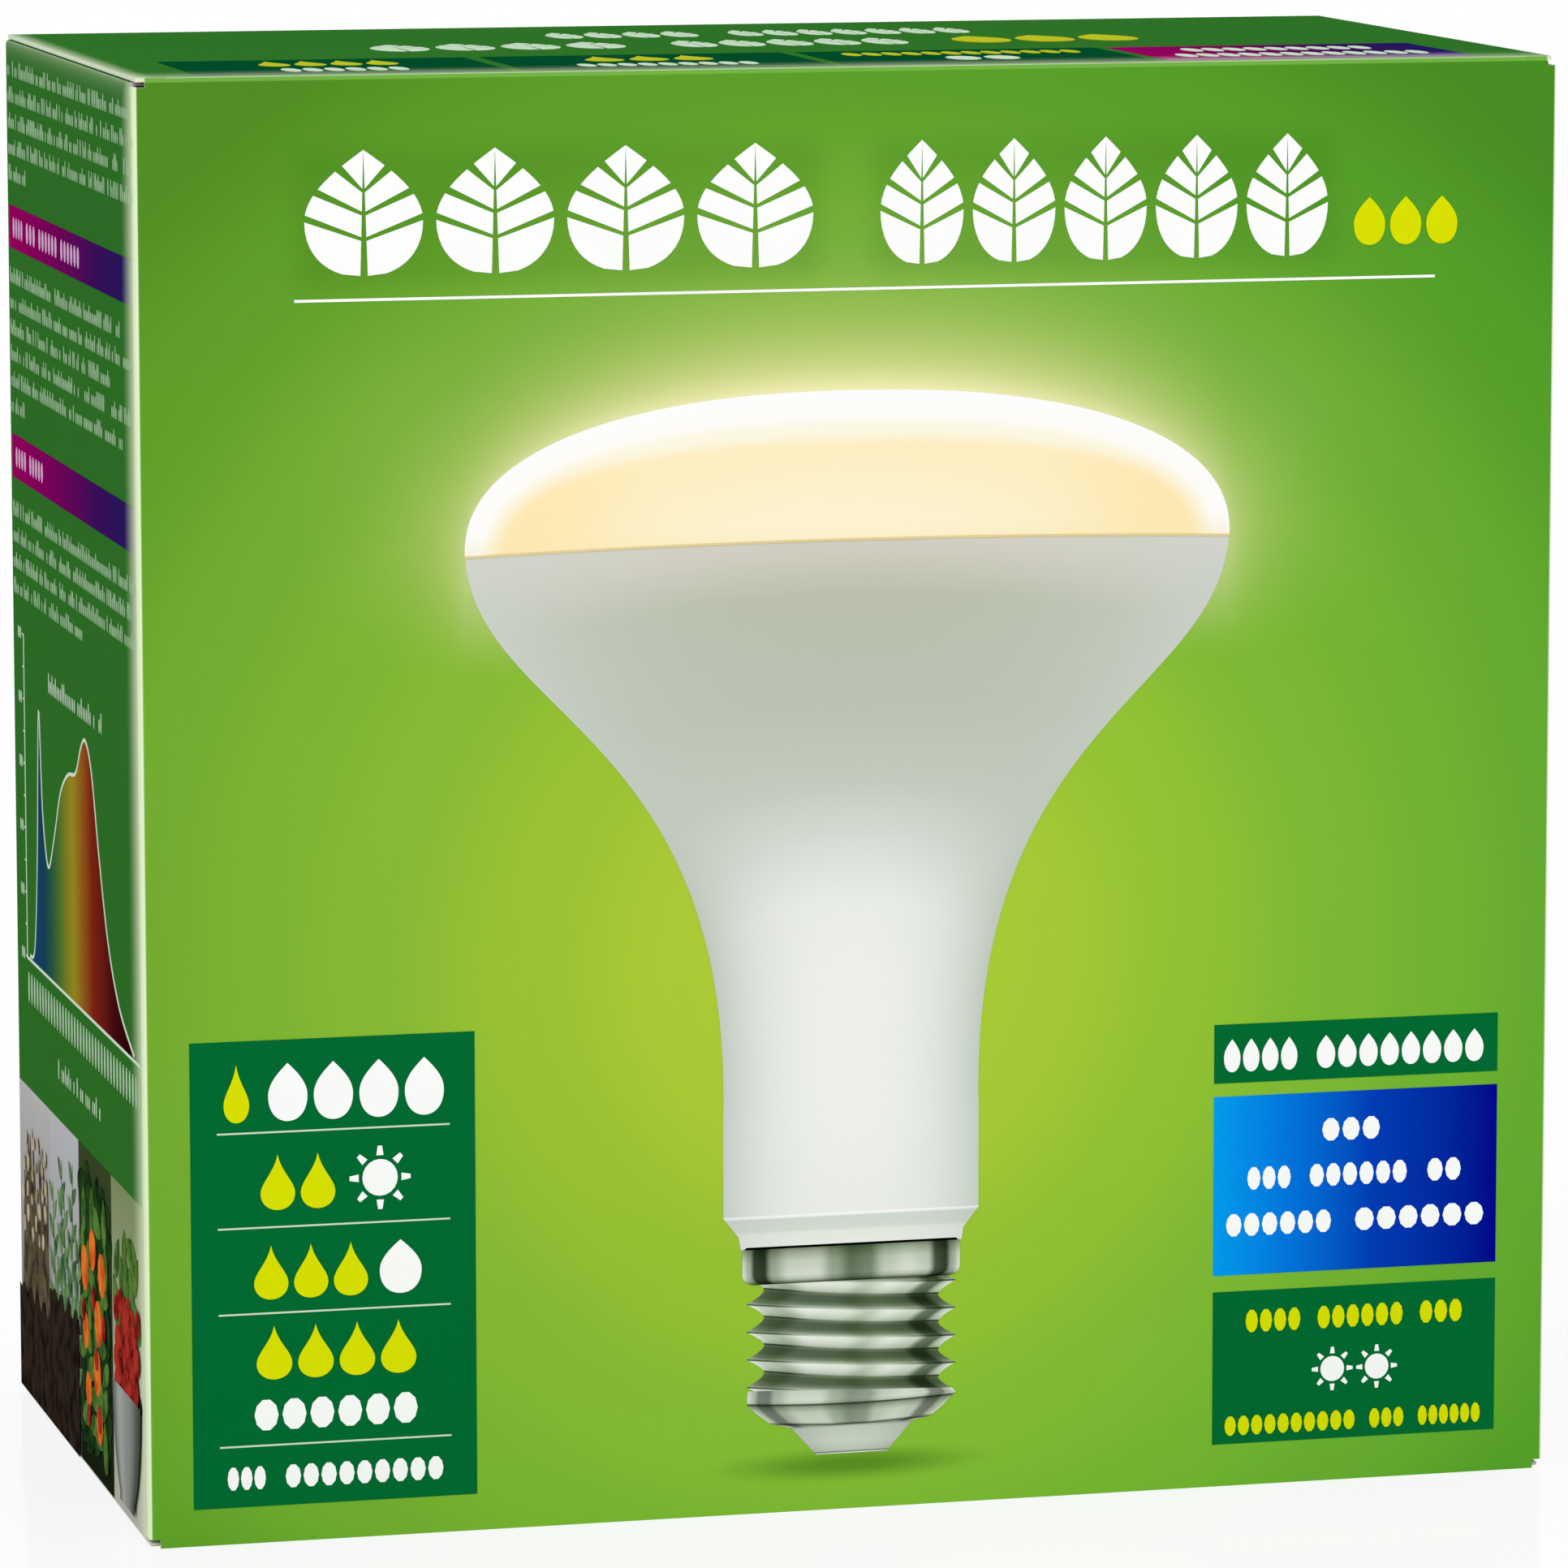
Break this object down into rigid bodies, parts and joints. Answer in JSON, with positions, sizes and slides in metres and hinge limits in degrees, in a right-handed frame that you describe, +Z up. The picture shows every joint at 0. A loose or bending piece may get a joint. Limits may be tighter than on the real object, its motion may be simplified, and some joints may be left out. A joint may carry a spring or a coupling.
{
  "type": "retail folding carton with a reflector lamp inside",
  "caption": "Printed folding carton with tuck lids at both ends, holding a reflector lamp in a folded board fitment.",
  "frame": {"origin": "middle of the carton's base", "axes": "+X along the front's width, to the right as one faces the front; +Y from the front to the back; +Z up"},
  "size_m": [0.18, 0.097, 0.18],
  "materials": {
    "printed_board": "gloss-varnished print on white-lined board",
    "plain_board": "uncoated",
    "lamp_body": "satin white with a milky dome and a metal screw shell"
  },
  "bodies": {
    "carton": {"carton_sleeve": "printed_board", "fitment": "plain_board", "lamp": "lamp_body"},
    "top_lid": {"top_lid": "printed_board"},
    "bottom_lid": {"bottom_lid": "printed_board"}
  },
  "joints": [
    {"name": "top_lid_crease", "type": "hinge", "parent": "carton", "child": "top_lid", "pos_m": [0, 0.04825, 0.17975], "axis": [-1, 0, 0], "range_deg": [0, 180]},
    {"name": "bottom_lid_crease", "type": "hinge", "parent": "carton", "child": "bottom_lid", "pos_m": [0, 0.04825, 0.00025], "axis": [1, 0, 0], "range_deg": [0, 180]}
  ]
}
